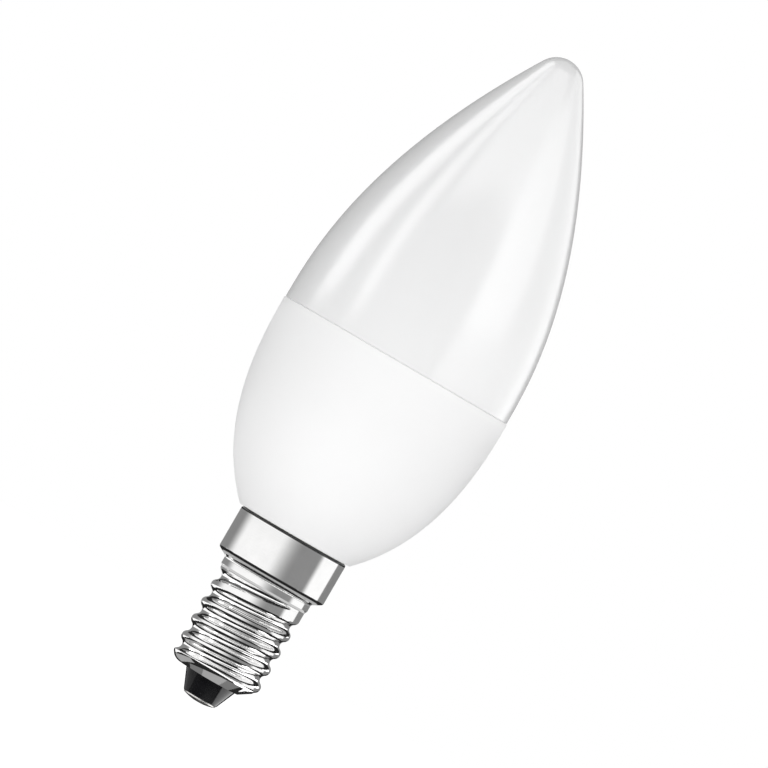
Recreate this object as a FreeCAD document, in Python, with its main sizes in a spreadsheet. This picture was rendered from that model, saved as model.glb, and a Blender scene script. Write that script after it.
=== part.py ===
import FreeCAD, Part
import os
import Sketcher
from FreeCAD import Placement, Rotation, Vector

# Candle lamp with a small Edison screw cap.
# Millimetres. The lamp's axis is Z, with the cap at the bottom and the candle tip at the top.
# The origin is the lowest point of the centre contact, on the axis.

# Driving sizes: name, value, what it measures
SIZES = [
    ("overall_length", 107.0, "centre contact to tip"),
    ("seam_height", 57.0, "parting line between housing and diffuser"),
    ("seam_radius", 18.56, "housing at the parting line, the widest place"),
    ("seam_step", 0.13, "how far the diffuser stands back from the housing there"),
    ("housing_side_pull", 7.7, "how far down the housing's side stays upright"),
    ("housing_neck_pull", 12.7, "how far up the housing's taper keeps the lean of its neck"),
    ("housing_neck_lean", 45.0, "lean of the taper at the neck, degrees from the axis"),
    ("neck_overhang", 0.48, "how far the lower edge of the taper stands out from the collar"),
    ("housing_edge_round", 0.3, "rounding of the housing's lower edge"),
    ("housing_rim_bevel", 0.12, "bevel of the housing's upper edge"),
    ("housing_rim_wall", 1.5, "wall of the rim around the diffuser's spigot"),
    ("diffuser_side_pull", 7.8, "how far up the diffuser's side stays upright"),
    ("diffuser_tip_pull", 28.9, "how far down the flank keeps its lean from the tip"),
    ("diffuser_tip_lean", 31.4, "lean of the flank at the tip, degrees from the axis"),
    ("diffuser_tip_radius", 3.9, "rounding of the tip"),
    ("diffuser_rim_bevel", 0.12, "bevel of the diffuser's lower edge"),
    ("spigot_depth", 3.0, "how deep the diffuser's spigot goes into the housing"),
    ("fit_clearance", 0.05, "play between pieces that plug into each other"),
    ("sheet_thickness", 0.3, "wall of the drawn cap shell"),
    ("collar_step", 1.5, "how far the shell's collar stands out from the throat"),
    ("collar_length", 6.7, "collar, from the shoulder to the top of its rolled rim"),
    ("collar_rim_roll", 0.4, "outer radius of the rolled rim"),
    ("collar_corner_roll", 0.45, "outer radius of the collar's lower corner"),
    ("shoulder_height", 0.85, "cone that narrows from the collar to the throat"),
    ("shoulder_foot_roll", 0.3, "inner radius at the foot of the shoulder"),
    ("throat_step", 0.22, "how far the plain throat stands out from the barrel"),
    ("throat_flare", 0.4, "height over which it narrows to the barrel, above the thread"),
    ("barrel_radius", 6.93, "outside of the threaded barrel"),
    ("barrel_bottom", 3.75, "underside of the shell"),
    ("barrel_length", 16.5, "barrel and throat, from the underside to the shoulder"),
    ("barrel_corner_roll", 1.8, "outer radius of the barrel's lower corner"),
    ("start_land", 0.4, "underside between its hole and the cone where the thread starts"),
    ("start_lean", 57.0, "lean of that cone, degrees from the axis"),
    ("start_shift", 0.7, "how far the cone's own axis lies to the left of the lamp's"),
    ("thread_pitch", 2.822, "nine threads to the inch"),
    ("thread_depth", 0.785, "from the barrel's outside to the bottom of the groove"),
    ("thread_crest_rise", 0.02, "how far the crest arcs would top the barrel"),
    ("thread_ridge_inset", 0.3, "how much narrower the sheet's inner ridge is than half a pitch"),
    ("thread_land", 2.94, "from the shoulder down to the last full groove, on the left side"),
    ("thread_turns", 6.0, "turns of full groove below it"),
    ("runout_turns", 0.5, "part of a turn in which the groove fades out"),
    ("lip_width", 2.88, "from the barrel's outside to the hole in the shell's underside"),
    ("insulator_margin", 0.09, "how far the cone's narrow end stands out from the contact"),
    ("insulator_tip_round", 0.2, "rounding of that end"),
    ("flange_gap", 0.03, "least play round the insulator's flange, inside that cone"),
    ("flange_thickness", 2.45, "flange of the insulator inside the shell"),
    ("contact_height", 0.6, "thickness of the domed contact plate"),
    ("contact_radius", 2.6, "contact plate"),
    ("contact_dome_rise", 0.42, "height of its dome"),
    ("contact_flat_radius", 0.8, "flat spot in the middle of the dome"),
    ("contact_shank_radius", 0.9, "rivet shank"),
    ("contact_shank_length", 2.6, "rivet shank above the plate"),
]

# Two places nearer than this, in millimetres, are the same place
SAME_PLACE = 1e-4

# Places that several pieces share, as expressions on the sheet, from the cap's underside up
SHOULDER_BOTTOM = "(sizes.barrel_bottom + sizes.barrel_length)"
SHOULDER_TOP = f"({SHOULDER_BOTTOM} + sizes.shoulder_height)"
COLLAR_TOP = f"({SHOULDER_TOP} + sizes.collar_length)"
THROAT_RADIUS = "(sizes.barrel_radius + sizes.throat_step)"
COLLAR_RADIUS = f"({THROAT_RADIUS} + sizes.collar_step)"
THREAD_TOP = f"({SHOULDER_BOTTOM} - sizes.thread_land)"
FLARE_BOTTOM = f"({THREAD_TOP} + sizes.thread_pitch / 2)"
FLARE_TOP = f"({FLARE_BOTTOM} + sizes.throat_flare)"
THREAD_ROOT = "(sizes.barrel_radius - sizes.thread_depth)"
LIP_RADIUS = "(sizes.barrel_radius - sizes.lip_width)"
LIP_TOP = "(sizes.barrel_bottom + sizes.sheet_thickness)"
START_FOOT = f"({LIP_RADIUS} + sizes.start_land)"
FLANGE_TOP = f"({LIP_TOP} + sizes.flange_thickness)"
SEAT = f"({COLLAR_TOP} + sizes.fit_clearance)"
NECK_PLUG_RADIUS = f"({COLLAR_RADIUS} - sizes.collar_rim_roll - sizes.fit_clearance)"
NECK_PLUG_BOTTOM = f"({SHOULDER_TOP} + sizes.sheet_thickness)"
STEM_RADIUS = f"({THREAD_ROOT} - sizes.sheet_thickness - 2 * sizes.fit_clearance)"
STEM_BOTTOM = f"({FLANGE_TOP} + sizes.fit_clearance)"
RECESS_RADIUS = "(sizes.seam_radius - sizes.housing_rim_wall)"
ROLL_CENTRE = (
    f"{COLLAR_RADIUS} - sizes.collar_rim_roll",
    f"{COLLAR_TOP} - sizes.collar_rim_roll",
)

# The shoulder's corners inside the shell, a sheet's thickness from the cone outside
SHOULDER_RISE = "sizes.shoulder_height"
SHOULDER_RUN = "sizes.collar_step"
SHOULDER_SHIFT = (
    f"(sizes.sheet_thickness * (sqrt({SHOULDER_RISE} ^ 2 + {SHOULDER_RUN} ^ 2)"
    f" - {SHOULDER_RISE}) / {SHOULDER_RUN})"
)
SHOULDER_FOOT_INSIDE = f"{SHOULDER_BOTTOM} + {SHOULDER_SHIFT}"
SHOULDER_TOP_INSIDE = f"{SHOULDER_TOP} + {SHOULDER_SHIFT}"

# The thread's arcs: equal at crest and root, and tangent where they meet
WAVE_DEPTH = "(sizes.thread_depth + sizes.thread_crest_rise)"
KNUCKLE = f"(({WAVE_DEPTH} ^ 2 + sizes.thread_pitch ^ 2 / 4) / (4 * {WAVE_DEPTH}))"

doc = FreeCAD.newDocument("candle_lamp")
sheet = doc.addObject("Spreadsheet::Sheet", "sizes")
for row, (alias, value, meaning) in enumerate(SIZES, start=1):
    sheet.set(f"A{row}", meaning)
    sheet.set(f"B{row}", str(value))
    sheet.setAlias(f"B{row}", alias)
doc.recompute()


def number(expression):
    """Work out an expression on the sheet."""
    return float(sheet.evalExpression(expression))


def new_body(label):
    """Start a body whose label names its file."""
    body = doc.addObject("PartDesign::Body", label)
    body.Label = label
    body.Placement = Placement()
    return body


def origin_plane(body, role):
    """Find one of the body's own origin planes."""
    return next(item for item in body.Origin.OriginFeatures if item.Role == role)


def place(corner):
    """Give the point of a corner, which is a pair of expressions."""
    across, height = corner
    return Vector(number(across), number(height), 0)


class Outline:
    """A closed outline on a body's XZ plane: across is the radius, up is the height.

    A corner is a pair of expressions on the sheet. The first end that comes to a corner is
    held there by them, and the ends that come later are joined to it.
    """

    def __init__(self, body, name):
        self.sketch = body.newObject("Sketcher::SketchObject", name)
        self.sketch.AttachmentSupport = [(origin_plane(body, "XZ_Plane"), "")]
        self.sketch.MapMode = "FlatFace"
        self.held = {}

    def pin(self, geometry, end, corner):
        """Hold an end or a centre at a corner by two distances from the sketch's origin."""
        point = place(corner)
        for kind, axis, distance, expression in (
            ("DistanceX", -2, point.x, corner[0]),
            ("DistanceY", -1, point.y, corner[1]),
        ):
            if abs(distance) < SAME_PLACE:
                rule = Sketcher.Constraint("PointOnObject", geometry, end, axis)
                self.sketch.addConstraint(rule)
            else:
                rule = Sketcher.Constraint(kind, -1, 1, geometry, end, distance)
                index = self.sketch.addConstraint(rule)
                self.sketch.setExpression(f"Constraints[{index}]", expression)

    def hold(self, geometry, end, corner):
        """Bring an end to a corner."""
        if corner in self.held:
            rule = Sketcher.Constraint("Coincident", *self.held[corner], geometry, end)
            self.sketch.addConstraint(rule)
        else:
            self.pin(geometry, end, corner)
            self.held[corner] = (geometry, end)

    def lines(self, *corners):
        """Draw straight lines from corner to corner."""
        for start, end in zip(corners, corners[1:]):
            line = self.sketch.addGeometry(Part.LineSegment(place(start), place(end)), False)
            self.hold(line, 1, start)
            self.hold(line, 2, end)

    def arc(self, centre, radius, start, end):
        """Draw an arc anticlockwise from start to end, held by them and its radius."""
        circle = Part.Circle(place(centre), Vector(0, 0, 1), number(radius))
        turn = [circle.parameter(place(corner)) for corner in (start, end)]
        arc = self.sketch.addGeometry(Part.ArcOfCircle(circle, *turn), False)
        self.hold(arc, 1, start)
        self.hold(arc, 2, end)
        index = self.sketch.addConstraint(Sketcher.Constraint("Radius", arc, number(radius)))
        self.sketch.setExpression(f"Constraints[{index}]", radius)

    def curve(self, start, start_pole, end_pole, end):
        """Draw a smooth curve that leaves each end towards its pole."""
        poles = [place(corner) for corner in (start, start_pole, end_pole, end)]
        shape = Part.BSplineCurve()
        shape.buildFromPolesMultsKnots(poles, [4, 4], [0, 1], False, 3)
        curve = self.sketch.addGeometry(shape, False)
        first_pole = self.sketch.GeometryCount
        self.sketch.exposeInternalGeometry(curve)
        self.hold(curve, 1, start)
        self.pin(first_pole + 1, 3, start_pole)
        self.pin(first_pole + 2, 3, end_pole)
        self.hold(curve, 2, end)


def revolve(body, outline, name, kind="Revolution"):
    """Turn an outline once round its upright axis, to add it or, as a Groove, to cut it."""
    feature = body.newObject(f"PartDesign::{kind}", name)
    feature.Profile = outline.sketch
    feature.ReferenceAxis = (outline.sketch, ["V_Axis"])
    feature.Angle = 360
    doc.recompute()
    return feature


def ring(feature, radius, height):
    """Name the circular edge at this radius and height of a feature."""
    for index, edge in enumerate(feature.Shape.Edges, start=1):
        curve = edge.Curve
        if not isinstance(curve, Part.Circle):
            continue
        centre = Vector(0, 0, number(height))
        off = abs(curve.Radius - number(radius)) + curve.Center.distanceToPoint(centre)
        if off < SAME_PLACE:
            return f"Edge{index}"
    raise ValueError(f"no ring at {radius}, {height}")


def dress_ring(body, kind, name, corner, size):
    """Round or bevel the circular edge at a corner of the outline."""
    base = body.Tip
    edge = ring(base, *corner)
    feature = body.newObject(f"PartDesign::{kind}", name)
    feature.Base = (base, [edge])
    feature.setExpression("Radius" if kind == "Fillet" else "Size", size)
    doc.recompute()


def make_diffuser():
    """Opal bulb with its pointed tip and the spigot that plugs into the housing."""
    body = new_body("diffuser")
    tip_centre = ("0", "sizes.overall_length - sizes.diffuser_tip_radius")
    tip = ("0", "sizes.overall_length")
    flank_end = (
        "sizes.diffuser_tip_radius * cos(sizes.diffuser_tip_lean)",
        f"{tip_centre[1]} + sizes.diffuser_tip_radius * sin(sizes.diffuser_tip_lean)",
    )
    flank_pole = (
        f"{flank_end[0]} + sizes.diffuser_tip_pull * sin(sizes.diffuser_tip_lean)",
        f"{flank_end[1]} - sizes.diffuser_tip_pull * cos(sizes.diffuser_tip_lean)",
    )
    rim_radius = "sizes.seam_radius - sizes.seam_step"
    side_pole = (rim_radius, "sizes.seam_height + sizes.diffuser_side_pull")
    rim = (rim_radius, "sizes.seam_height")
    spigot = f"{RECESS_RADIUS} - sizes.fit_clearance"
    spigot_bottom = "sizes.seam_height - sizes.spigot_depth"
    outline = Outline(body, "diffuser_outline")
    outline.curve(rim, side_pole, flank_pole, flank_end)
    outline.arc(tip_centre, "sizes.diffuser_tip_radius", flank_end, tip)
    outline.lines(
        tip, ("0", spigot_bottom), (spigot, spigot_bottom), (spigot, "sizes.seam_height"), rim
    )
    revolve(body, outline, "diffuser_form")
    dress_ring(body, "Chamfer", "diffuser_rim_edge", rim, "sizes.diffuser_rim_bevel")
    return body


def make_housing():
    """White housing with the recess for the diffuser and the plug that fills the cap."""
    body = new_body("housing")
    neck = (f"{COLLAR_RADIUS} + sizes.neck_overhang", SEAT)
    neck_pole = (
        f"{neck[0]} + sizes.housing_neck_pull * sin(sizes.housing_neck_lean)",
        f"{SEAT} + sizes.housing_neck_pull * cos(sizes.housing_neck_lean)",
    )
    side_pole = ("sizes.seam_radius", "sizes.seam_height - sizes.housing_side_pull")
    rim = ("sizes.seam_radius", "sizes.seam_height")
    recess_bottom = "sizes.seam_height - sizes.spigot_depth - sizes.fit_clearance"
    outline = Outline(body, "housing_outline")
    outline.curve(rim, side_pole, neck_pole, neck)
    outline.lines(
        neck,
        (NECK_PLUG_RADIUS, SEAT),
        (NECK_PLUG_RADIUS, NECK_PLUG_BOTTOM),
        (STEM_RADIUS, NECK_PLUG_BOTTOM),
        (STEM_RADIUS, STEM_BOTTOM),
        ("0", STEM_BOTTOM),
        ("0", recess_bottom),
        (RECESS_RADIUS, recess_bottom),
        (RECESS_RADIUS, "sizes.seam_height"),
        rim,
    )
    revolve(body, outline, "housing_form")
    dress_ring(body, "Fillet", "housing_lower_edge", neck, "sizes.housing_edge_round")
    dress_ring(body, "Chamfer", "housing_rim_edge", rim, "sizes.housing_rim_bevel")
    return body


def draw_groove(body, name, height, wall):
    """Draw the thread groove's section on the left side, a wall inside the shell's outside.

    Outside, it is a root arc between two crest arcs. Inside, the sheet's ridge is flatter.
    A mouth that lies outside the barrel and the throat closes it.
    """
    outline = Outline(body, name)
    turned = Rotation(Vector(0, 1, 0), 180)
    outline.sketch.AttachmentOffset = Placement(Vector(0, number(height), 0), turned)
    outline.sketch.setExpression("AttachmentOffset.Base.y", height)
    half_pitch = "(sizes.thread_pitch / 2)"
    quarter_pitch = "(sizes.thread_pitch / 4)"
    root = f"({THREAD_ROOT} - {wall})"
    root_centre = f"({root} + {KNUCKLE})"
    crest_centre = f"(sizes.barrel_radius + sizes.thread_crest_rise - {wall} - {KNUCKLE})"
    meeting = f"(({root_centre} + {crest_centre}) / 2)"
    mouth = f"(sizes.barrel_radius - {wall} + sizes.thread_crest_rise / 2)"
    mouth_rise = f"({half_pitch} - sqrt({KNUCKLE} ^ 2 - ({mouth} - {crest_centre}) ^ 2))"
    outside = f"({THROAT_RADIUS} - {wall} + sizes.sheet_thickness)"
    upper_mouth, lower_mouth = (mouth, mouth_rise), (mouth, f"-{mouth_rise}")
    outline.lines(lower_mouth, (outside, f"-{mouth_rise}"), (outside, mouth_rise), upper_mouth)
    if wall == "0":
        upper_meeting, lower_meeting = (meeting, quarter_pitch), (meeting, f"-{quarter_pitch}")
        outline.arc((crest_centre, half_pitch), KNUCKLE, upper_meeting, upper_mouth)
        outline.arc((root_centre, "0"), KNUCKLE, upper_meeting, lower_meeting)
        outline.arc((crest_centre, f"-{half_pitch}"), KNUCKLE, lower_mouth, lower_meeting)
    else:
        ridge = f"({quarter_pitch} - sizes.thread_ridge_inset)"
        outline.lines(upper_mouth, (root, ridge), (root, f"-{ridge}"), lower_mouth)
    return outline


def cut_groove(body, outline, name, turns, angle):
    """Sweep a groove up a right-handed helix, level or widening, and cut it from the body."""
    feature = body.newObject("PartDesign::SubtractiveHelix", name)
    feature.Profile = outline.sketch
    feature.ReferenceAxis = (outline.sketch, ["V_Axis"])
    feature.Mode = "height-turns-angle"
    feature.setExpression("Height", f"sizes.thread_pitch * {turns}")
    feature.setExpression("Turns", turns)
    feature.setExpression("Angle", angle)
    feature.LeftHanded = False
    doc.recompute()


def cut_thread_start(body, wall):
    """Cut the cone where the thread starts, a wall inside the shell's outside.

    It turns round an axis of its own, to the left, so that it runs deepest on the right.
    """
    outline = Outline(body, f"{body.Label}_start_outline")
    aside = "-sizes.start_shift"
    outline.sketch.AttachmentOffset = Placement(Vector(number(aside), 0, 0), Rotation())
    outline.sketch.setExpression("AttachmentOffset.Base.x", aside)
    inward = f"({wall} * (1 / cos(sizes.start_lean) - tan(sizes.start_lean)))"
    foot = f"({START_FOOT} - {inward} + sizes.start_shift)"
    rim = "(sizes.barrel_radius + sizes.start_shift + sizes.sheet_thickness)"
    foot_height = f"(sizes.barrel_bottom + {wall})"
    rim_height = f"({foot_height} + ({rim} - {foot}) / tan(sizes.start_lean))"
    below = "(sizes.barrel_bottom - 2 * sizes.sheet_thickness)"
    corner = (foot, foot_height)
    outline.lines(corner, (foot, below), (rim, below), (rim, rim_height), corner)
    revolve(body, outline, f"{body.Label}_start", "Groove")


def cut_thread(body, wall):
    """Cut the thread and its run-out into a barrel that lies a wall inside the shell's outside."""
    start = f"{THREAD_TOP} - sizes.thread_pitch * sizes.thread_turns"
    full = draw_groove(body, f"{body.Label}_groove", start, wall)
    cut_groove(body, full, f"{body.Label}_thread", "sizes.thread_turns", "0")
    fading = draw_groove(body, f"{body.Label}_fading_groove", THREAD_TOP, wall)
    fade = f"({WAVE_DEPTH} + sizes.throat_step)"
    widening = f"atan({fade} / (sizes.thread_pitch * sizes.runout_turns))"
    cut_groove(body, fading, f"{body.Label}_runout", "sizes.runout_turns", widening)


def make_shell_outside():
    """Outside of the drawn shell: barrel, shoulder and collar, with the rolled thread."""
    body = new_body("shell_outside")
    barrel_corner = ("sizes.barrel_radius", "sizes.barrel_bottom")
    flare_foot, throat_foot = ("sizes.barrel_radius", FLARE_BOTTOM), (THROAT_RADIUS, FLARE_TOP)
    shoulder_foot = (THROAT_RADIUS, SHOULDER_BOTTOM)
    collar_corner = (COLLAR_RADIUS, SHOULDER_TOP)
    roll_start = (COLLAR_RADIUS, ROLL_CENTRE[1])
    roll_end = (ROLL_CENTRE[0], COLLAR_TOP)
    underside, top = ("0", "sizes.barrel_bottom"), ("0", COLLAR_TOP)
    outline = Outline(body, "shell_outline")
    outline.arc(ROLL_CENTRE, "sizes.collar_rim_roll", roll_start, roll_end)
    outline.lines(roll_end, top, underside, barrel_corner, flare_foot, throat_foot)
    outline.lines(throat_foot, shoulder_foot, collar_corner, roll_start)
    revolve(body, outline, "shell_blank")
    for name, corner, size in (
        ("collar_corner", collar_corner, "sizes.collar_corner_roll"),
        ("shoulder_foot", shoulder_foot, "sizes.shoulder_foot_roll"),
        ("barrel_corner", barrel_corner, "sizes.barrel_corner_roll"),
    ):
        dress_ring(body, "Fillet", name, corner, size)
    cut_thread_start(body, "0")
    cut_thread(body, "0")
    return body


def make_shell_inside():
    """Room inside the shell: the same form a sheet's thickness in, with both its openings."""
    body = new_body("shell_inside")
    wall = "sizes.sheet_thickness"
    barrel = f"sizes.barrel_radius - {wall}"
    collar = f"{COLLAR_RADIUS} - {wall}"
    roll_start = (collar, ROLL_CENTRE[1])
    roll_end = (ROLL_CENTRE[0], f"{COLLAR_TOP} - {wall}")
    throat = f"{THROAT_RADIUS} - {wall}"
    barrel_corner = (barrel, LIP_TOP)
    shoulder_foot = (throat, SHOULDER_FOOT_INSIDE)
    collar_corner = (collar, SHOULDER_TOP_INSIDE)
    below = f"sizes.barrel_bottom - {wall}"
    above = f"{COLLAR_TOP} + {wall}"
    outline = Outline(body, "room_outline")
    outline.arc(ROLL_CENTRE, f"(sizes.collar_rim_roll - {wall})", roll_start, roll_end)
    outline.lines(
        roll_end,
        (ROLL_CENTRE[0], above),
        ("0", above),
        ("0", below),
        (LIP_RADIUS, below),
        (LIP_RADIUS, LIP_TOP),
        barrel_corner,
        (barrel, FLARE_BOTTOM),
        (throat, FLARE_TOP),
        shoulder_foot,
        collar_corner,
        roll_start,
    )
    revolve(body, outline, "room_blank")
    for name, corner, size in (
        ("room_collar_corner", collar_corner, f"sizes.collar_corner_roll - {wall}"),
        ("room_shoulder_foot", shoulder_foot, f"sizes.shoulder_foot_roll + {wall}"),
        ("room_barrel_corner", barrel_corner, f"sizes.barrel_corner_roll - {wall}"),
    ):
        dress_ring(body, "Fillet", name, corner, size)
    cut_thread_start(body, wall)
    cut_thread(body, wall)
    return body


def make_cap_shell():
    """Screw cap: one piece of plated sheet, drawn, rolled with its thread and curled at the rim."""
    shell = doc.addObject("Part::Cut", "cap_shell")
    shell.Label = "cap_shell"
    shell.Base = make_shell_outside()
    shell.Tool = make_shell_inside()
    shell.Placement = Placement()
    doc.recompute()
    return shell


def make_cap_insulator():
    """Glass cone that carries the centre contact, with the flange that holds it in the shell."""
    body = new_body("cap_insulator")
    tip = ("sizes.contact_radius + sizes.insulator_margin", "sizes.contact_height")
    flange = f"{START_FOOT} - sizes.sheet_thickness / 2 - sizes.flange_gap"
    socket_top = "sizes.contact_height + sizes.contact_shank_length"
    outline = Outline(body, "insulator_outline")
    outline.lines(
        tip,
        (LIP_RADIUS, "sizes.barrel_bottom"),
        (LIP_RADIUS, LIP_TOP),
        (flange, LIP_TOP),
        (flange, FLANGE_TOP),
        ("0", FLANGE_TOP),
        ("0", socket_top),
        ("sizes.contact_shank_radius", socket_top),
        ("sizes.contact_shank_radius", "sizes.contact_height"),
        tip,
    )
    revolve(body, outline, "insulator_form")
    dress_ring(body, "Fillet", "insulator_tip_edge", tip, "sizes.insulator_tip_round")
    return body


def make_centre_contact():
    """Domed contact plate with the rivet shank that is sealed into the insulator."""
    body = new_body("centre_contact")
    shank_top = "sizes.contact_height + sizes.contact_shank_length"
    dome_edge = ("sizes.contact_radius", "sizes.contact_dome_rise")
    flat_edge = ("sizes.contact_flat_radius", "0")
    span = "(sizes.contact_radius ^ 2 - sizes.contact_flat_radius ^ 2)"
    dome_centre = f"(({span} / sizes.contact_dome_rise + sizes.contact_dome_rise) / 2)"
    dome_radius = f"sqrt({dome_centre} ^ 2 + sizes.contact_flat_radius ^ 2)"
    outline = Outline(body, "contact_outline")
    outline.arc(("0", dome_centre), dome_radius, flat_edge, dome_edge)
    outline.lines(
        dome_edge,
        ("sizes.contact_radius", "sizes.contact_height"),
        ("sizes.contact_shank_radius", "sizes.contact_height"),
        ("sizes.contact_shank_radius", shank_top),
        ("0", shank_top),
        ("0", "0"),
        flat_edge,
    )
    revolve(body, outline, "contact_form")
    return body


PIECES = [
    make_diffuser(),
    make_housing(),
    make_cap_shell(),
    make_cap_insulator(),
    make_centre_contact(),
]

for item in doc.Objects:
    if "Invalid" in item.State or "Error" in item.State:
        raise RuntimeError(f"{item.Name} failed: {item.State}")
for piece in PIECES:
    if piece.Shape.isNull() or not piece.Shape.isValid() or len(piece.Shape.Solids) != 1:
        raise RuntimeError(f"{piece.Label} is not one sound solid")

os.makedirs("parts", exist_ok=True)
for piece in PIECES:
    piece.Shape.exportStep(f"parts/{piece.Label}.step")
    print(piece.Label, round(piece.Shape.Volume, 2))
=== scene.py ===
"""Candle lamp with a small Edison screw cap, dressed, lit and framed for its picture.

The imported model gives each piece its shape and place. This script gives each piece its finish,
then sets up the studio and the camera. Lengths are in metres in the part's own frame: +Z runs
along the lamp from the centre contact to the tip, +X is to its right and -Y faces the camera.
Directions round the lamp are azimuths in degrees, from the camera (0) towards +X (90).
"""

import logging
import math
from dataclasses import dataclass, field
from enum import Enum

import bpy
from mathutils import Matrix, Quaternion, Vector


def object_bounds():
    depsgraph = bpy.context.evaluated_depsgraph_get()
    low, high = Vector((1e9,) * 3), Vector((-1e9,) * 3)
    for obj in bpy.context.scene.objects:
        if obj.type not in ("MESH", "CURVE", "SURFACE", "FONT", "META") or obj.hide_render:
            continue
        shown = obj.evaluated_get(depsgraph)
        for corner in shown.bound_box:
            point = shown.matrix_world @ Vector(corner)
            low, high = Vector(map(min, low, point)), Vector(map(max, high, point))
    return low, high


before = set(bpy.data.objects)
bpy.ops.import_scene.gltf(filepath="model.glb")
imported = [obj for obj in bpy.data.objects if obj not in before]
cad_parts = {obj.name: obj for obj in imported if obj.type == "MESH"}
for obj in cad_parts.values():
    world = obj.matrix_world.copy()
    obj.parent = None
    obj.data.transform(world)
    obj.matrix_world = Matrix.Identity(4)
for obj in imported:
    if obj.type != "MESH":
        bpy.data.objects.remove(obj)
cad_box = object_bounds()

LOG = logging.getLogger("candle_lamp")
Colour = tuple[float, float, float]

NOISE_LOW, NOISE_HIGH = 0.3, 0.7
"""Most of a noise's values lie between these two."""

PAINTED_GAP_SHADE: Colour = (0.12, 0.12, 0.12)
# The colour of the painted shade: the shadow in the gap under the housing, painted onto the shell's
# top rim.
"""The colour of a cut edge of the metal."""

PAINTED_SHADE_BLUR = 5e-5
"""How far that colour fades to either side of where it starts, in metres."""

SHARPEST_FADE = 1e-3
"""The least share of a panel's width over which its edge can fade."""

HALF_PANEL = 0.5
"""Half of a panel's width before it is scaled."""

DISC_SIDES = 96
"""How many sides a round panel has."""

BAND_SIDES = 128
"""How many sides a band has."""

DARK = 0.02
"""The brightness of a black flag."""

SURROUND_LEVEL = 1.0
"""The brightness of the surround where it is looked at."""


class Aim(Enum):
    """The part of the lamp that a panel or a light faces."""

    LAMP = "lamp"
    CAP = "cap"


class Shape(Enum):
    """The shape of a panel."""

    SHEET = "sheet"
    DISC = "disc"


def outward(azimuth: float, elevation: float) -> Vector:
    """Point from the lamp in a direction.

    Args:
        azimuth: the direction round the lamp, in degrees from the camera towards +X.
        elevation: its height, in degrees over the horizon.

    Returns:
        A vector one metre long.
    """
    turn, rise = math.radians(azimuth), math.radians(elevation)
    return Vector(
        (math.sin(turn) * math.cos(rise), -math.cos(turn) * math.cos(rise), math.sin(rise))
    )


class Graph:
    """A node tree that is written one node at a time."""

    def __init__(self, tree: bpy.types.NodeTree) -> None:
        """Take the tree.

        Args:
            tree: the node tree of a material or a world.
        """
        self.tree = tree

    def add(self, kind: str, **settings: object) -> bpy.types.Node:
        """Add a node.

        Args:
            kind: the node's type, without its ShaderNode prefix.
            **settings: properties of the node, by name.

        Returns:
            The new node.
        """
        node = self.tree.nodes.new("ShaderNode" + kind)
        for name, value in settings.items():
            setattr(node, name, value)
        return node

    def link(self, source: bpy.types.NodeSocket, target: bpy.types.NodeSocket) -> None:
        """Join two sockets.

        Args:
            source: the output.
            target: the input.
        """
        self.tree.links.new(source, target)

    def noise(
        self, scale: float, detail: float, stretch: Colour = (1, 1, 1)
    ) -> bpy.types.NodeSocket:
        """Add a noise that is fixed to the piece.

        Args:
            scale: how many grains lie in a metre.
            detail: how many finer layers it has.
            stretch: how much denser the grains lie along each axis.

        Returns:
            The output that holds the noise, from 0 to 1.
        """
        place = self.add("TexCoord")
        mapping = self.add("Mapping")
        mapping.inputs["Scale"].default_value = stretch
        noise = self.add("TexNoise")
        noise.inputs["Scale"].default_value = scale
        noise.inputs["Detail"].default_value = detail
        self.link(place.outputs["Object"], mapping.inputs["Vector"])
        self.link(mapping.outputs["Vector"], noise.inputs["Vector"])
        return noise.outputs["Fac"]

    def spread(self, source: bpy.types.NodeSocket, low: float, high: float) -> bpy.types.NodeSocket:
        """Stretch a noise's usual range over another.

        Args:
            source: the output that holds the noise.
            low: the value for the lower end of its usual range.
            high: the value for the upper end.

        Returns:
            The output that holds the new value.
        """
        ranger = self.add("MapRange")
        ranger.inputs["From Min"].default_value = NOISE_LOW
        ranger.inputs["From Max"].default_value = NOISE_HIGH
        ranger.inputs["To Min"].default_value = low
        ranger.inputs["To Max"].default_value = high
        self.link(source, ranger.inputs["Value"])
        return ranger.outputs["Result"]

    def paint_shade_above(self, colour: bpy.types.NodeSocket, height: float) -> bpy.types.NodeSocket:
        """Paint shade onto the piece above some height: the shadow in the gap under the housing,
        painted as a dark colour.

        Args:
            colour: the output that holds the piece's colour.
            height: the height, in metres over the contact.

        Returns:
            The output that holds the new colour.
        """
        place = self.add("TexCoord")
        apart = self.add("SeparateXYZ")
        self.link(place.outputs["Object"], apart.inputs["Vector"])
        shade = self.add("MapRange")
        shade.inputs["From Min"].default_value = height - PAINTED_SHADE_BLUR
        shade.inputs["From Max"].default_value = height + PAINTED_SHADE_BLUR
        self.link(apart.outputs["Z"], shade.inputs["Value"])
        darker = self.add("Mix", data_type="RGBA")
        darker.inputs["B"].default_value = (*PAINTED_GAP_SHADE, 1)
        self.link(colour, darker.inputs["A"])
        self.link(shade.outputs["Result"], darker.inputs["Factor"])
        return darker.outputs["Result"]

    def bump(self, source: bpy.types.NodeSocket, depth: float) -> bpy.types.Node:
        """Turn a noise into relief.

        Args:
            source: an output from 0 to 1.
            depth: the height of the relief, in metres.

        Returns:
            The bump node.
        """
        bump = self.add("Bump")
        bump.inputs["Strength"].default_value = 1.0
        bump.inputs["Distance"].default_value = depth
        self.link(source, bump.inputs["Height"])
        return bump


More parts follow.
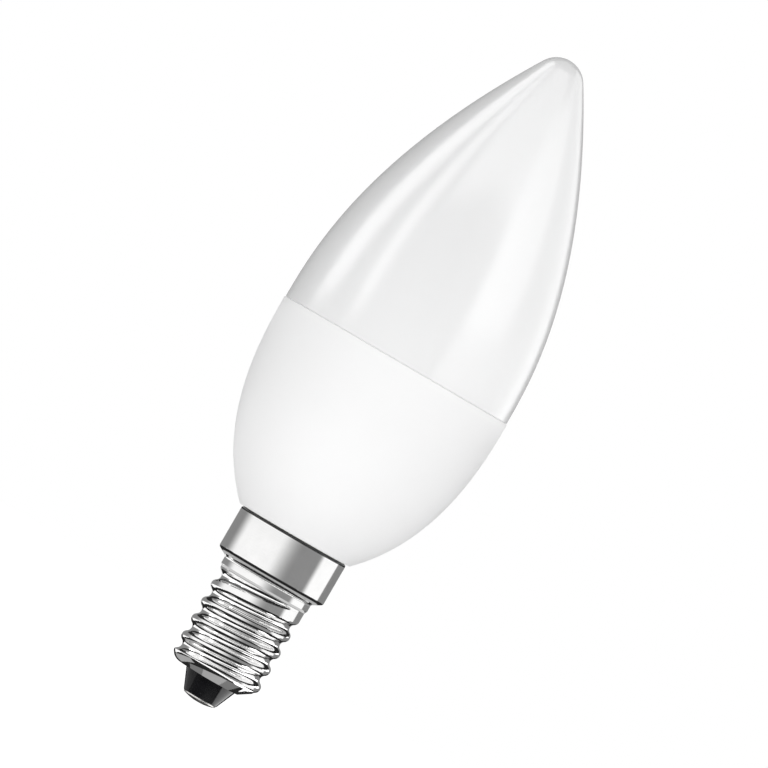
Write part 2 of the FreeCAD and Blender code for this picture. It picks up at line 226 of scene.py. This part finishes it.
@dataclass(frozen=True)
class Finish:
    """A surface that every piece made of it shares.

    Attributes:
        name: the finish's name, which its material carries.
        slot: the record's material slot.
        tone_low: the darkest tone of the surface.
        tone_high: the lightest tone of the surface.
        tone_grain: patches of tone in a metre.
        rough_low: the smoothest place.
        rough_high: the roughest place.
        grain: grains of relief in a metre.
        grain_stretch: how much denser the grains lie along each axis.
        relief: height of the relief, in metres.
        painted_shade_height: height above which the shadow in the gap under the housing is painted
            dark onto the metal, in metres, where it has one.
        constants: shader values that are the same all over, by socket name.
    """

    name: str
    slot: str
    tone_low: Colour
    tone_high: Colour
    tone_grain: float
    rough_low: float
    rough_high: float
    grain: float
    relief: float
    grain_stretch: Colour = (1, 1, 1)
    painted_shade_height: float | None = None
    constants: dict[str, object] = field(default_factory=dict)

    def material(self) -> bpy.types.Material:
        """Make the material.

        Returns:
            A material whose tone, roughness and relief vary over the piece.
        """
        material = bpy.data.materials.new(self.name)
        material.use_nodes = True
        graph = Graph(material.node_tree)
        shader = material.node_tree.nodes["Principled BSDF"]
        patches = graph.noise(self.tone_grain, detail=3)
        tone = graph.add("Mix", data_type="RGBA")
        tone.inputs["A"].default_value = (*self.tone_low, 1)
        tone.inputs["B"].default_value = (*self.tone_high, 1)
        graph.link(graph.spread(patches, 0, 1), tone.inputs["Factor"])
        surface = tone.outputs["Result"]
        # Painted shade: a dark band at the top of the shell stands for the shadow in the gap under
        # the housing.
        if self.painted_shade_height is not None:
            surface = graph.paint_shade_above(surface, self.painted_shade_height)
        graph.link(surface, shader.inputs["Base Color"])
        grains = graph.noise(self.grain, detail=2, stretch=self.grain_stretch)
        roughness = graph.spread(grains, self.rough_low, self.rough_high)
        graph.link(roughness, shader.inputs["Roughness"])
        relief = graph.bump(grains, self.relief)
        graph.link(relief.outputs["Normal"], shader.inputs["Normal"])
        for socket, value in self.constants.items():
            shader.inputs[socket].default_value = value
        return material


OPAL = Finish(
    name="opal_polycarbonate",
    slot="opal_diffuser",
    tone_low=(0.858, 0.859, 0.86),
    tone_high=(0.872, 0.873, 0.874),
    tone_grain=60,
    rough_low=0.17,
    rough_high=0.23,
    grain=900,
    relief=0.6e-6,
    constants={"IOR": 1.585},
)
WHITE = Finish(
    name="white_moulded_polymer",
    slot="white_housing",
    tone_low=(0.925, 0.925, 0.925),
    tone_high=(0.94, 0.94, 0.94),
    tone_grain=50,
    rough_low=0.5,
    rough_high=0.6,
    grain=2600,
    relief=2e-6,
    constants={"IOR": 1.5, "Specular IOR Level": 0.3},
)
PLATE = Finish(
    name="nickel_plated_sheet",
    slot="plated_shell",
    tone_low=(0.88, 0.878, 0.874),
    tone_high=(0.93, 0.928, 0.924),
    tone_grain=400,
    rough_low=0.05,
    rough_high=0.1,
    grain=900,
    relief=0.3e-6,
    grain_stretch=(1, 1, 6),
    # Painted shade: from this height up, the shell is painted dark for the shadow in the gap under
    # the housing.
    painted_shade_height=0.0274,
    constants={"Metallic": 1.0},
)
GLASS = Finish(
    name="black_cap_glass",
    slot="black_glass",
    tone_low=(0.006, 0.006, 0.007),
    tone_high=(0.012, 0.012, 0.013),
    tone_grain=700,
    rough_low=0.05,
    rough_high=0.12,
    grain=500,
    relief=4e-6,
    constants={"IOR": 1.5, "Specular IOR Level": 0.4},
)
CONTACT = Finish(
    name="tinned_contact",
    slot="contact_plate",
    tone_low=(0.66, 0.65, 0.63),
    tone_high=(0.78, 0.77, 0.75),
    tone_grain=900,
    rough_low=0.2,
    rough_high=0.35,
    grain=1800,
    relief=1.5e-6,
    constants={"Metallic": 1.0},
)


@dataclass
class Lamp:
    """The lamp's pieces, each with its finish.

    Attributes:
        finishes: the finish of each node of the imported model.
    """

    finishes: dict[str, Finish] = field(
        default_factory=lambda: {
            "diffuser": OPAL,
            "housing": WHITE,
            "cap_shell": PLATE,
            "cap_insulator": GLASS,
            "centre_contact": CONTACT,
        }
    )

    def build(self) -> None:
        """Dress every piece."""
        for node, finish in self.finishes.items():
            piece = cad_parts[node]
            piece.data.materials.clear()
            piece.data.materials.append(finish.material())
            LOG.info("%s: %s, %d faces", node, finish.name, len(piece.data.polygons))


def glow_material(name: str, level: float) -> tuple[bpy.types.Material, bpy.types.NodeSocket]:
    """Make a material that only glows.

    Args:
        name: the material's name.
        level: its brightness.

    Returns:
        The material, and the input that holds its brightness.
    """
    material = bpy.data.materials.new(name)
    material.use_nodes = True
    nodes = material.node_tree.nodes
    nodes.remove(nodes["Principled BSDF"])
    graph = Graph(material.node_tree)
    glow = graph.add("Emission")
    glow.inputs["Strength"].default_value = level
    graph.link(glow.outputs["Emission"], nodes["Material Output"].inputs["Surface"])
    return material, glow.inputs["Strength"]


def show_in_reflections(piece: bpy.types.Object) -> None:
    """Make a piece of the studio show in reflections, and nowhere else.

    Args:
        piece: the piece.
    """
    piece.visible_camera = False
    piece.visible_diffuse = False
    piece.visible_shadow = False


@dataclass(frozen=True)
class Panel:
    """A flat panel beside the lamp that shows only in reflections.

    Attributes:
        name: the panel's name.
        azimuth: the direction of its middle, in degrees.
        elevation: the height of its middle, in degrees over the horizon.
        width: its width, in degrees.
        height: its height, in degrees.
        level: its brightness, where the surround's is 1 and a lower one makes it a flag.
        aim: the part of the lamp that it faces.
        distance: how far it stands from that part's middle, in metres.
        shape: its shape.
        lean: how far its top leans towards lower azimuths, in degrees.
        fade_left: the share of its width over which its left edge fades into the surround.
        fade_right: the same for its right edge.
    """

    name: str
    azimuth: float
    elevation: float
    width: float
    height: float
    level: float
    aim: Aim = Aim.LAMP
    distance: float = 0.8
    shape: Shape = Shape.SHEET
    lean: float = 0.0
    fade_left: float = 0.0
    fade_right: float = 0.0

    def build(self, middles: dict[Aim, Vector]) -> None:
        """Stand the panel in its place.

        Args:
            middles: the middle of each part of the lamp.
        """
        direction = outward(self.azimuth, self.elevation)
        bpy.ops.object.select_all(action="DESELECT")
        if self.shape is Shape.DISC:
            bpy.ops.mesh.primitive_circle_add(
                radius=HALF_PANEL, vertices=DISC_SIDES, fill_type="NGON"
            )
        else:
            bpy.ops.mesh.primitive_plane_add(size=2 * HALF_PANEL)
        panel = bpy.context.active_object
        panel.name = self.name
        spans = [math.radians(span) for span in (self.width, self.height)]
        panel.scale = [2 * self.distance * math.tan(span / 2) for span in spans] + [1]
        panel.rotation_mode = "QUATERNION"
        panel.rotation_quaternion = direction.to_track_quat("Z", "Y") @ Quaternion(
            (0, 0, 1), math.radians(self.lean)
        )
        panel.location = middles[self.aim] + direction * self.distance
        panel.data.materials.append(self.material())
        show_in_reflections(panel)

    def material(self) -> bpy.types.Material:
        """Make the panel's glow, with its faded edges.

        Returns:
            The material.
        """
        material, strength = glow_material(self.name, self.level)
        graph = Graph(material.node_tree)
        place = graph.add("TexCoord")
        across = graph.add("SeparateXYZ")
        graph.link(place.outputs["Object"], across.inputs["Vector"])
        inside = graph.add("Math", operation="MULTIPLY")
        for index, (edge, inward, share) in enumerate(
            ((-HALF_PANEL, 1, self.fade_left), (HALF_PANEL, -1, self.fade_right))
        ):
            ramp = graph.add("MapRange", interpolation_type="SMOOTHSTEP")
            ramp.inputs["From Min"].default_value = edge
            ramp.inputs["From Max"].default_value = edge + inward * max(share, SHARPEST_FADE)
            graph.link(across.outputs["X"], ramp.inputs["Value"])
            graph.link(ramp.outputs["Result"], inside.inputs[index])
        level = graph.add("MapRange")
        level.inputs["To Min"].default_value = SURROUND_LEVEL
        level.inputs["To Max"].default_value = self.level
        graph.link(inside.outputs["Value"], level.inputs["Value"])
        graph.link(level.outputs["Result"], strength)
        return material


@dataclass(frozen=True)
class Ring:
    """A band all round the lamp that shows only in reflections.

    Attributes:
        name: the band's name.
        bottom_radius: the radius of its lower edge, in metres.
        top_radius: the radius of its upper edge.
        bottom: the height of its lower edge, in metres over the contact.
        top: the height of its upper edge.
        level: its brightness, where the surround's is 1 and a lower one makes it a flag.
    """

    name: str
    bottom_radius: float
    top_radius: float
    bottom: float
    top: float
    level: float

    def build(self) -> None:
        """Hang the band round the lamp's axis."""
        bpy.ops.object.select_all(action="DESELECT")
        bpy.ops.mesh.primitive_cone_add(
            vertices=BAND_SIDES,
            radius1=self.bottom_radius,
            radius2=self.top_radius,
            depth=self.top - self.bottom,
            end_fill_type="NOTHING",
            location=(0, 0, (self.top + self.bottom) / 2),
        )
        band = bpy.context.active_object
        band.name = self.name
        material, _ = glow_material(self.name, self.level)
        band.data.materials.append(material)
        show_in_reflections(band)


@dataclass(frozen=True)
class SoftLight:
    """A square light that leaves no highlight.

    Attributes:
        azimuth: its direction, in degrees.
        elevation: its height, in degrees over the horizon.
        distance: how far it stands from the lamp's middle, in metres.
        size: its side, in metres.
        power: its power, in watts.
    """

    azimuth: float
    elevation: float
    distance: float
    size: float
    power: float

    def build(self, middle: Vector) -> None:
        """Stand the light in its place, facing the lamp.

        Args:
            middle: the lamp's middle.
        """
        direction = outward(self.azimuth, self.elevation)
        bpy.ops.object.select_all(action="DESELECT")
        bpy.ops.object.light_add(type="AREA", location=middle + direction * self.distance)
        light = bpy.context.active_object
        light.name = "soft_light"
        light.rotation_mode = "QUATERNION"
        light.rotation_quaternion = direction.to_track_quat("Z", "Y")
        light.data.size = self.size
        light.data.energy = self.power
        light.visible_glossy = False
        light.visible_camera = False


@dataclass
class Studio:
    """White surround, pale floor, soft lights, and panels that shape the reflections.

    Attributes:
        ambient: light from all round, where 1 lights a colour as it is written.
        floor_drop: how far the floor lies below the lamp, in metres.
        floor_size: the floor's side, in metres.
        floor_tone: the floor's colour.
        floor_roughness: the floor's roughness.
        floor_glow: what the floor adds to its own tone where it is looked at.
        cap_middle: the height of the cap's middle, in metres.
        lights: the lights.
        panels: the panels.
        rings: the bands round the cap.
    """

    ambient: float = 0.45
    floor_drop: float = 0.1
    floor_size: float = 8.0
    floor_tone: Colour = (0.82, 0.82, 0.82)
    floor_roughness: float = 0.9
    floor_glow: float = 0.72
    cap_middle: float = 0.011
    # Azimuth, elevation, distance, size, power
    lights: tuple[SoftLight, ...] = (
        SoftLight(-38, 28, 1.0, 0.7, 2.35),
        SoftLight(38, 28, 1.0, 0.7, 2.35),
        SoftLight(-45, -35, 0.2, 0.12, 0.088),
        SoftLight(45, -35, 0.2, 0.12, 0.088),
    )
    # Name, azimuth, elevation, width, height, level
    panels: tuple[Panel, ...] = (
        Panel("left_strip", -101, 30, 22, 56, 4.0, lean=14),
        Panel("left_line", -64, 30, 12, 56, 4.1, lean=20),
        Panel("high_box", 0, 58, 70, 30, 3.0),
        Panel("right_box", 64, 32, 44, 46, 4.0, lean=-15),
        Panel("right_low_box", 66, 2, 60, 20, 2.7),
        Panel("right_strip", 114, 10, 72, 90, 2.45, fade_right=0.15),
        Panel("back_left_flag", -135, 0, 86, 120, 0.26, fade_right=0.41),
        Panel("back_right_flag", 166, 0, 32, 120, 0.3, fade_left=0.1),
        Panel(
            "front_right_flag", 32, 0, 94, 21, 0.27, Aim.CAP, 0.2, fade_left=0.48, fade_right=0.18
        ),
        Panel("right_white", 95, -7, 54, 28, 1.08, Aim.CAP, 0.3),
        Panel("right_edge_flag", 148, -16, 60, 48, 0.24, Aim.CAP, 0.2, fade_left=0.08),
        Panel("back_low_flag", 180, -38, 62, 60, DARK, Aim.CAP, 0.08),
        Panel("front_high_flag", 0, 43, 112, 32, DARK, Aim.CAP, 0.045),
        Panel("low_card", 98, -47, 62, 18, 2.2, Aim.CAP, 0.0191),
        Panel("low_left_flag", -100, -47, 62, 18, 0.4, Aim.CAP, 0.0191),
        Panel("low_flag", 0, -90, 114, 114, DARK, Aim.CAP, 0.039, Shape.DISC),
        Panel("low_white", 90, -83, 63, 63, 0.2, Aim.CAP, 0.021, Shape.DISC),
        Panel("low_glint", 90, -85, 26, 26, 0.4, Aim.CAP, 0.0205, Shape.DISC),
    )
    # Name, radius at the bottom and the top, height of the bottom and the top, level
    rings: tuple[Ring, ...] = (
        Ring("cap_roof", 0.061, 0.021, 0.0505, 0.056, 1.0),
        Ring("upper_flag", 0.06, 0.06, 0.028, 0.050, DARK),
        Ring("shoulder_flag", 0.0125, 0.0081, 0.02038, 0.0204, DARK),
        Ring("foot_flag", 0.012, 0.0075, 0.01998, 0.02, 0.45),
        Ring("throat_card", 0.0078, 0.0072, 0.01836, 0.01838, 0.65),
        Ring("throat_flag", 0.0078, 0.0072, 0.01833, 0.01835, DARK),
        Ring("low_flag_rim", 0.06, 0.06, -0.028, -0.015, DARK),
    )

    def build(self, middle: Vector, bottom: float) -> None:
        """Set up the surround, floor, lights, panels and bands.

        Args:
            middle: the lamp's middle.
            bottom: the lamp's lowest height.
        """
        self.surround()
        self.floor(bottom)
        for light in self.lights:
            light.build(middle)
        middles = {Aim.LAMP: middle, Aim.CAP: Vector((0, 0, self.cap_middle))}
        for panel in self.panels:
            panel.build(middles)
        for ring in self.rings:
            ring.build()
        counts = len(self.lights), len(self.panels), len(self.rings)
        LOG.info("studio: %d lights, %d panels, %d bands", *counts)

    def looked_at(self, graph: Graph) -> bpy.types.NodeSocket:
        """Tell rays that look from rays that light.

        Args:
            graph: the graph to add the nodes to.

        Returns:
            An output that is 1 for camera, glossy and transmission rays, and 0 for others.
        """
        path = graph.add("LightPath")
        either = graph.add("Math", operation="MAXIMUM")
        looks = graph.add("Math", operation="MAXIMUM")
        graph.link(path.outputs["Is Camera Ray"], either.inputs[0])
        graph.link(path.outputs["Is Glossy Ray"], either.inputs[1])
        graph.link(either.outputs["Value"], looks.inputs[0])
        graph.link(path.outputs["Is Transmission Ray"], looks.inputs[1])
        return looks.outputs["Value"]

    def surround(self) -> None:
        """Make a surround that looks white and lights evenly."""
        world = bpy.data.worlds.new("white_surround")
        world.use_nodes = True
        bpy.context.scene.world = world
        graph = Graph(world.node_tree)
        background = world.node_tree.nodes["Background"]
        background.inputs["Color"].default_value = (1, 1, 1, 1)
        level = graph.add("MapRange")
        level.inputs["To Min"].default_value = self.ambient
        level.inputs["To Max"].default_value = SURROUND_LEVEL
        graph.link(self.looked_at(graph), level.inputs["Value"])
        graph.link(level.outputs["Result"], background.inputs["Strength"])

    def floor(self, bottom: float) -> None:
        """Lay the floor below the lamp, which its lampholder holds up.

        Args:
            bottom: the lamp's lowest height.
        """
        bpy.ops.object.select_all(action="DESELECT")
        bpy.ops.mesh.primitive_plane_add(
            size=self.floor_size, location=(0, 0, bottom - self.floor_drop)
        )
        floor = bpy.context.active_object
        floor.name = "floor"
        material = bpy.data.materials.new("pale_floor")
        material.use_nodes = True
        graph = Graph(material.node_tree)
        shader = material.node_tree.nodes["Principled BSDF"]
        shader.inputs["Base Color"].default_value = (*self.floor_tone, 1)
        shader.inputs["Roughness"].default_value = self.floor_roughness
        shader.inputs["Specular IOR Level"].default_value = 0.0
        shader.inputs["Emission Color"].default_value = (1, 1, 1, 1)
        level = graph.add("Math", operation="MULTIPLY")
        level.inputs[1].default_value = self.floor_glow
        graph.link(self.looked_at(graph), level.inputs[0])
        graph.link(level.outputs["Value"], shader.inputs["Emission Strength"])
        floor.data.materials.append(material)


@dataclass
class PhotoCamera:
    """A long lens, level with the lamp's middle and rolled, so that the lamp leans to the right.

    Attributes:
        lens: focal length, in millimetres.
        sensor: sensor width, in millimetres.
        image_side: side of the square picture, in pixels.
        contact_pixel: where the lamp's lowest point lies in the picture.
        tip_pixel: where its tip lies.
        reach: how far the camera sees, where 1 is as far as the lamp.
    """

    lens: float = 500
    sensor: float = 36
    image_side: float = 768
    contact_pixel: tuple[float, float] = (197.7, 701.7)
    tip_pixel: tuple[float, float] = (569.9, 60.7)
    reach: float = 4

    def build(self, bottom: float, top: float) -> None:
        """Place the camera by the two ends of the lamp.

        Args:
            bottom: the lamp's lowest height.
            top: its highest.
        """
        across = self.tip_pixel[0] - self.contact_pixel[0]
        down = self.tip_pixel[1] - self.contact_pixel[1]
        lean = math.atan2(across, -down)
        scale = (top - bottom) / math.hypot(across, down)
        right = Vector((math.cos(lean), 0, math.sin(lean)))
        up = Vector((-math.sin(lean), 0, math.cos(lean)))
        middle = self.image_side / 2
        aside = middle - (self.tip_pixel[0] + self.contact_pixel[0]) / 2
        above = (self.tip_pixel[1] + self.contact_pixel[1]) / 2 - middle
        aim = Vector((0, 0, (bottom + top) / 2)) + scale * (right * aside + up * above)
        distance = self.image_side * scale * self.lens / self.sensor
        bpy.ops.object.select_all(action="DESELECT")
        bpy.ops.object.camera_add()
        camera = bpy.context.active_object
        camera.name = "photo_camera"
        camera.data.lens = self.lens
        camera.data.sensor_width = self.sensor
        camera.data.clip_end = self.reach * distance
        back = right.cross(up)
        turned = Matrix((right, up, back)).transposed()
        camera.matrix_world = Matrix.Translation(aim + back * distance) @ turned.to_4x4()
        bpy.context.scene.camera = camera
        roll = math.degrees(lean)
        LOG.info("camera: %.0f mm lens at %.2f m, rolled %.2f degrees", self.lens, distance, roll)


def main() -> None:
    """Dress the lamp, then set up its studio and camera."""
    logging.basicConfig(level=logging.INFO, format="%(name)s: %(message)s")
    bpy.context.scene.view_settings.view_transform = "Standard"
    low, high = cad_box
    Lamp().build()
    Studio().build((low + high) / 2, low.z)
    PhotoCamera().build(low.z, high.z)


if __name__ == "__main__":
    main()
